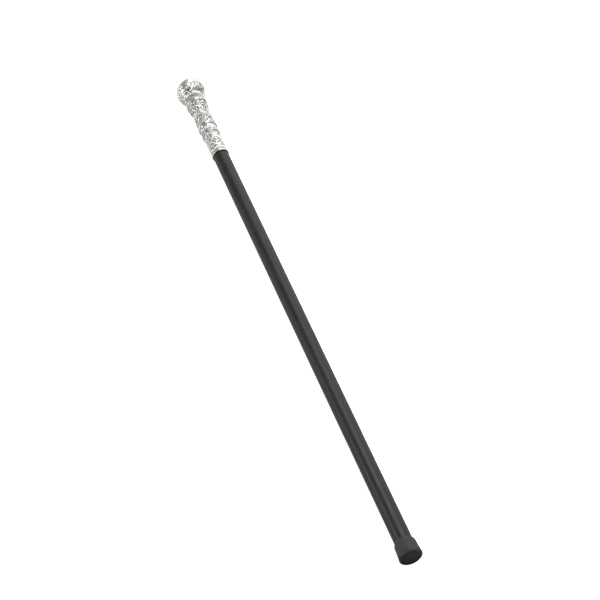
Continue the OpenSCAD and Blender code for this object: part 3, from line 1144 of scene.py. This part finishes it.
def plain_sleeve(name, outer, inner, columns, reference, turn):
    made = lathe(name, outer + inner, columns, loop=True)
    along = outline_length(outer)
    flat = np.zeros((len(made.data.vertices), 3), np.float32)
    press = np.zeros(len(made.data.vertices), np.float32)
    angles = (2 * math.pi * np.arange(columns) / columns + math.radians(turn)) % (2 * math.pi)
    for k in range(len(outer)):
        part = slice(k * columns, (k + 1) * columns)
        flat[part, 0] = angles * reference
        flat[part, 1] = along[k]
        edge = min(along[k], along[-1] - along[k]) / BORDER
        press[part] = np.clip(edge - 0.35, 0.0, 1.0) ** 0.8
    made.data.attributes.new("flat", "FLOAT_VECTOR", "POINT").data.foreach_set("vector", flat.ravel())
    made.data.attributes.new("press", "FLOAT", "POINT").data.foreach_set("value", press)
    return made, along[-1]


def emboss(node, outer, inner, cell, finish, slot, repeats, relief, columns, turn, shine=0.42):
    """Turns a node's plain sleeve, draws its repeat and presses it in. turn sets where a repeat begins."""
    reference = reach(node)[2]
    made, length = plain_sleeve(node + "_embossed", outer, inner, columns, reference, turn)
    wide = 2 * math.pi * reference / repeats
    strokes = cell(wide / MM, length / MM)
    stems, leaves = (drawing(f"{node}_{kind}", lines) for kind, lines in zip(("stems", "leaves"), strokes))
    values = {
        "Stems": stems,
        "Leaves": leaves,
        "Repeats": repeats,
        "Cell Width": wide,
        "Relief": relief,
        "Punch Marks": PUNCH_DEPTH,
        "Ground Shine": shine,
        "Finish": finish,
    }
    run_tree(made, emboss_tree, values)
    soil_edges(made, outer[0][0], outer[-1][0], SOILED_EDGE)
    for helper in (stems, leaves):
        bpy.data.objects.remove(helper)
    dress(made, finish, slot, "handle", node, sharp=70.0)


def sampled(start, end, radius_at, step):
    """Outline points from start to end, with the radius given by a rule."""
    count = max(2, round((end - start) / step))
    return [(x, radius_at(x)) for x in evenly(start, end, count)]


def eased(x, start, end, first, last):
    """A smooth S between two radii, level outside start and end."""
    t = min(1.0, max(0.0, (x - start) / (end - start)))
    return first + (last - first) * (1 - math.cos(math.pi * t)) / 2


def bore_wall(start, end):
    return [(end, DOWEL_R), (start, DOWEL_R)]


# %% [markdown]
# ## The sleeves
#
# The four sleeves sit on the dowel between the rings. The upper one narrows to the waist, the grip swells
# to fill the palm, and the band and the lower sleeve are straight.

# %% Emboss the four sleeves
WAIST_R = 12.4 * MM
CHASED = (embossed_silver, "embossed_silver")
start, end, top_r = reach("upper_sleeve")
length = end - start


def upper_radius(x):
    return eased(x, start + 0.42 * length, start + 0.8 * length, top_r, WAIST_R)


upper = sampled(start, end, upper_radius, 0.15 * MM)
walls = (upper, bore_wall(start, end))
emboss(
    "upper_sleeve", *walls, scroll_cell, *CHASED, repeats=6, relief=0.55 * MM, columns=600, turn=20.0
)

start, end, grip_r = reach("grip_sleeve")
length = end - start


def grip_radius(x):
    return eased(x, start, start + 0.35 * length, WAIST_R + 0.3 * MM, grip_r)


walls = (sampled(start, end, grip_radius, 0.17 * MM), bore_wall(start, end))
emboss("grip_sleeve", *walls, scroll_cell, *CHASED, repeats=5, relief=0.6 * MM, columns=520, turn=15.0)

start, end, band_r = reach("middle_band")
walls = (sampled(start, end, lambda x: band_r, 0.15 * MM), bore_wall(start, end))
emboss("middle_band", *walls, leaf_cell, *CHASED, repeats=10, relief=0.5 * MM, columns=560, turn=17.0)

start, end, lower_r = reach("lower_sleeve")
walls = (sampled(start, end, lambda x: lower_r, 0.2 * MM), bore_wall(start, end))
emboss(
    "lower_sleeve", *walls, ribbon_cell, *CHASED, repeats=4, relief=0.55 * MM, columns=440, turn=82.0
)

# %% [markdown]
# ## The bowl of the knob
#
# Below the crown the ball turns smoothly into the neck. The outline is an arc of the ball, a hollow arc
# that meets it without a kink, and a straight neck. The ornament is drawn at the ball's full size, so it
# draws together towards the neck, as chased flutes do.

# %% Emboss the bowl
bowl_start, bowl_end, _ = reach("knob_bowl")
NECK_R = 14.8 * MM
TURN = math.radians(38.0)
turn_x, turn_r = BALL_X + KNOB_R * math.sin(TURN), KNOB_R * math.cos(TURN)
FILLET = (turn_r - NECK_R) / (1 - math.cos(TURN))
hollow = (turn_x + FILLET * math.sin(TURN), turn_r + FILLET * math.cos(TURN))


def bowl_radius(x, inset=0.0):
    if x <= turn_x:
        return math.sqrt(max(0.0, (KNOB_R - inset) ** 2 - (x - BALL_X) ** 2))
    if x <= hollow[0]:
        return hollow[1] - math.sqrt((FILLET + inset) ** 2 - (x - hollow[0]) ** 2)
    return NECK_R - inset


bowl = sampled(bowl_start, bowl_end, bowl_radius, 0.205 * MM)
bowl_inside = [(x, bowl_radius(x, SHELL)) for x, _ in reversed(bowl[::8])]
bowl_inside[0] = (bowl_end, NECK_R - SHELL)
walls = (bowl, bowl_inside)
emboss("knob_bowl", *walls, knob_cell, *CHASED, repeats=5, relief=0.65 * MM, columns=600, turn=7.0)

# %% [markdown]
# ## The laurel ring
#
# The broad ring under the knob hides the joint between bowl and sleeve. It is polished harder than the
# sleeves, so its laurel is shallow and its ground is nearly as bright as its leaves.

# %% Emboss the neck ring
start, end, ring_r = reach("neck_ring")
roll = 0.8 * MM
laurel = arc((start + roll, ring_r - roll), roll, -90.0, 0.0)[:-1]
laurel += sampled(start + roll, end - roll, lambda x: ring_r, 0.14 * MM)
laurel += arc((end - roll, ring_r - roll), roll, 0.0, 90.0)[1:]
SHINY = (polished_silver, "polished_silver")
walls = (laurel, bore_wall(start, end))
emboss(
    "neck_ring",
    *walls,
    laurel_cell,
    *SHINY,
    repeats=20,
    relief=0.28 * MM,
    columns=600,
    turn=0.0,
    shine=0.7,
)

# %% [markdown]
# ## The pearl ring at the waist
#
# The little ring at the waist is a wire of beads. Beads repeat, so Geometry Nodes place them: a circle of
# points, a small round bead on each, and a turned seat underneath. A bead has only a few dozen faces,
# because there are many and each is under two millimetres across.


# %% The tree that strings beads round the cane
def build_bead_tree():
    tree, given, result = new_group(
        "ring_of_beads",
        "GeometryNodeTree",
        [
            ("Seat", GEOMETRY, None),
            ("Count", INT, 40),
            ("Ring Radius", FLOAT, 0.012),
            ("Bead Radius", FLOAT, 0.0009),
            ("Centre", VECTOR, (0.0, 0.0, 0.0)),
            ("Finish", MATERIAL, None),
        ],
        [("Ring", GEOMETRY)],
    )
    wires = {"Vertices": given["Count"], "Radius": given["Ring Radius"]}
    circle = place(tree, "GeometryNodeMeshCircle", {"fill_type": "NONE"}, wires)
    wires = {"Segments": 10, "Rings": 6, "Radius": given["Bead Radius"]}
    bead = place(tree, "GeometryNodeMeshUVSphere", None, wires)
    wires = {"Points": circle.outputs[0], "Instance": bead.outputs[0]}
    strung = place(tree, "GeometryNodeInstanceOnPoints", None, wires)
    facing = (0.0, math.pi / 2, 0.0)
    wires = {"Geometry": strung.outputs[0], "Translation": given["Centre"], "Rotation": facing}
    hung = place(tree, "GeometryNodeTransform", None, wires)
    real = place(tree, "GeometryNodeRealizeInstances", None, {0: hung.outputs[0]})
    together = place(tree, "GeometryNodeJoinGeometry")
    for piece in (real.outputs[0], given["Seat"]):
        tree.links.new(piece, together.inputs[0])
    wires = {"Geometry": together.outputs[0], "Material": given["Finish"]}
    painted = place(tree, "GeometryNodeSetMaterial", None, wires)
    tree.links.new(painted.outputs[0], result["Ring"])
    return tree


bead_tree = build_bead_tree()

# %% Make the pearl ring
start, end, outer = reach("waist_ring")
bead_r = (end - start) / 2
seat_r = outer - 0.9 * bead_r
seat = [(start, DOWEL_R), (start, seat_r), (end, seat_r), (end, DOWEL_R)]
pearls = lathe("waist_ring_beaded", seat, columns=128, loop=True)
values = {
    "Count": round(2 * math.pi * (outer - bead_r) / (2.02 * bead_r)),
    "Ring Radius": outer - bead_r,
    "Bead Radius": bead_r,
    "Centre": ((start + end) / 2, 0.0, AXIS_Z),
    "Finish": polished_silver,
}
run_tree(pearls, bead_tree, values)
write_high(pearls, lambda x, r: (r - seat_r) / (0.6 * bead_r))
dress(pearls, polished_silver, "polished_silver", "handle", "waist_ring")

# %% [markdown]
# ## The threaded stud
#
# When the handle is unscrewed the stud shows, so it needs its thread. A screw thread is a rule: the radius
# dips by the thread depth once per pitch, and the dip moves round as it goes along. The tree below applies
# that rule to a plain rod, which keeps the mesh closed and free of overlaps.


# %% The tree that cuts a thread
WHOLE_TURNS = 500.0  # keeps the thread's phase above zero all along the cane


def build_thread_tree():
    tree, given, result = new_group(
        "screw_thread",
        "GeometryNodeTree",
        [
            ("Rod", GEOMETRY, None),
            ("Pitch", FLOAT, 0.0015),
            ("Depth", FLOAT, 0.0009),
            ("Thread End", FLOAT, 0.0),
            ("Axis Height", FLOAT, 0.0),
            ("Finish", MATERIAL, None),
        ],
        [("Rod", GEOMETRY)],
    )
    spot = place(tree, "GeometryNodeInputPosition").outputs[0]
    parts, rise, across, radius = from_axis(tree, spot, given["Axis Height"])
    turn = calc(tree, "DIVIDE", calc(tree, "ARCTAN2", parts["Y"], rise), 2 * math.pi)
    lead = calc(tree, "DIVIDE", parts["X"], given["Pitch"])
    phase = calc(tree, "FRACT", calc(tree, "ADD", minus(tree, lead, turn), WHOLE_TURNS))
    flank = calc(tree, "ABSOLUTE", minus(tree, times(tree, phase, 2.0), 1.0))
    vee = ranged(tree, flank, 0.1, 0.88)
    to_end = minus(tree, given["Thread End"], parts["X"])
    left = calc(tree, "DIVIDE", to_end, given["Pitch"], clamp=True)
    skin = calc(tree, "GREATER_THAN", radius, 0.7 * STUD_R)
    cut = times(tree, times(tree, vee, given["Depth"]), times(tree, left, skin))
    outward = arrow_calc(tree, "NORMALIZE", {0: across})[0]
    offset = arrow_calc(tree, "SCALE", {0: outward, "Scale": times(tree, cut, -1.0)})
    wires = {"Geometry": given["Rod"], "Offset": offset[0]}
    moved = place(tree, "GeometryNodeSetPosition", None, wires)
    hand_over(tree, moved.outputs[0], given["Finish"], result["Rod"])
    return tree


thread_tree = build_thread_tree()

# %% Cut the stud
PITCH = 1.5 * MM
LEAD_IN = 1.0 * MM
thread_end = reach("collar_ring")[1] - 1.0 * MM
fine = round((thread_end - stud_start) / (PITCH / 10))
rod = [(stud_start, 0.0), (stud_start, STUD_R - LEAD_IN)]
rod.append((stud_start + LEAD_IN / 2, STUD_R - LEAD_IN / 2))
rod += [(x, STUD_R) for x in evenly(stud_start + LEAD_IN, thread_end, fine)]
rod += [(stud_end, STUD_R), (stud_end, 0.0)]
stud = lathe("stud_threaded", rod, columns=64, loop=False)
values = {
    "Pitch": PITCH,
    "Depth": 0.9 * MM,
    "Thread End": thread_end,
    "Axis Height": AXIS_Z,
    "Finish": machined_steel,
}
run_tree(stud, thread_tree, values)
dress(stud, machined_steel, "steel", "shaft", "shaft_stud", sharp=60.0)

# %% [markdown]
# ## The camera
#
# The cane lies away from the camera, with its rubber tip nearest and its knob far off and higher in the
# picture. The camera is fixed by two angles and by where the middle of the ferrule's face sits from it. A
# long lens keeps the stick's sides nearly parallel.

# %% Point the camera
AZIMUTH, ELEVATION = math.radians(70.804), math.radians(46.533)
TIP_FROM_CAMERA = (0.13035, -0.30171, 2.09920)
LENS = 107.5
level = math.cos(ELEVATION)
back = Vector((math.sin(AZIMUTH) * level, -math.cos(AZIMUTH) * level, math.sin(ELEVATION)))
right = Vector((math.cos(AZIMUTH), math.sin(AZIMUTH), 0.0))
up = back.cross(right)
camera_data = bpy.data.cameras.new("camera")
camera_data.sensor_width = 36.0
camera_data.lens = LENS
camera_data.clip_end = 50.0
camera = in_scene("camera", camera_data)
camera.rotation_euler = back.to_track_quat("Z", "Y").to_euler()
tip = Vector((tip_x, 0.0, AXIS_Z))
aside, above, away = TIP_FROM_CAMERA
camera.location = tip - aside * right - above * up + away * back
bpy.context.scene.camera = camera
print("camera at", tuple(round(c, 3) for c in camera.location))

# %% [markdown]
# ## Floor and light
#
# The floor is a plain pale sheet. The knob is fatter than the tip, so a lying cane isn't level: the sheet
# leans by just under half a degree to touch both. Three soft boxes light the cane: a large one behind the
# knob and to the right, a bright one overhead and a small one on the left. Polished silver shows whatever
# stands round it, and in an all-white room it would lose its outline. So the floor and the room glow white
# only when the camera looks straight at them. To everything else the floor doesn't glow and the room is a
# darker grey, which gives the silver dark things to mirror, and the lacquer broad soft bands.

# %% Lay the floor
slope = math.atan((KNOB_R - FERRULE_R) / (ferrule_end - BASE_ROUND - BALL_X))
floor_mesh = bpy.data.meshes.new("pale_floor")
FLOOR_HALF = 7.0
FLOOR_GLOW = 0.85
signs = ((-1, -1), (1, -1), (1, 1), (-1, 1))
corners = [(a * FLOOR_HALF, b * FLOOR_HALF) for a, b in signs]
floor_mesh.from_pydata([(x, y, (x - BALL_X) * math.tan(slope)) for x, y in corners], [], [(0, 1, 2, 3)])
floor = in_scene("pale_floor", floor_mesh)
floor_finish, floor_tree, floor_shader = start_finish("pale_floor", roughness=0.9, specular_ior_level=0.1)
floor_shader.inputs["Base Color"].default_value = (0.92, 0.92, 0.92, 1.0)
floor_shader.inputs["Emission Strength"].default_value = FLOOR_GLOW
first_look = place(floor_tree, "ShaderNodeLightPath").outputs["Is Camera Ray"]
floor_glow = mixed_colour(floor_tree, first_look, (0.0, 0.0, 0.0), (1.0, 1.0, 1.0))
floor_tree.links.new(floor_glow, floor_shader.inputs["Emission Color"])
floor_mesh.materials.append(floor_finish)


# %% Hang the lights
WHITE = (1.0, 1.0, 1.0, 1.0)
ROOM_IN_REFLECTIONS = 0.36


def soft_box(name, size, location, target, brightness):
    """A rectangular lamp. brightness is what a mirror would show, so its power follows from its size."""
    lamp = bpy.data.lights.new(name, "AREA")
    lamp.shape = "RECTANGLE"
    lamp.size, lamp.size_y = size
    lamp.energy = brightness * math.pi * size[0] * size[1]
    hung = in_scene(name, lamp)
    hung.location = location
    hung.rotation_euler = (Vector(location) - Vector(target)).to_track_quat("Z", "Y").to_euler()
    hung.visible_camera = False


soft_box("side_box", (4.0, 2.8), (-2.35, 1.65, 1.4), (-0.4, 0.0, 0.0), brightness=0.98)
soft_box("top_box", (1.3, 1.1), (-0.85, 0.35, 2.35), (0.2, 0.0, 0.0), brightness=5.2)
soft_box("left_box", (0.9, 0.9), (-0.85, -2.2, 0.95), (0.3, 0.0, 0.0), brightness=4.6)
world = bpy.data.worlds.new("pale_room")
world.use_nodes = True
room = world.node_tree
first_look = place(room, "ShaderNodeLightPath").outputs["Is Camera Ray"]
strength = ranged(room, first_look, 0.0, 1.0, ROOM_IN_REFLECTIONS, 1.0)
room.links.new(strength, room.nodes["Background"].inputs["Strength"])
room.nodes["Background"].inputs["Color"].default_value = WHITE
bpy.context.scene.world = world
bpy.context.scene.view_settings.view_transform = "Standard"
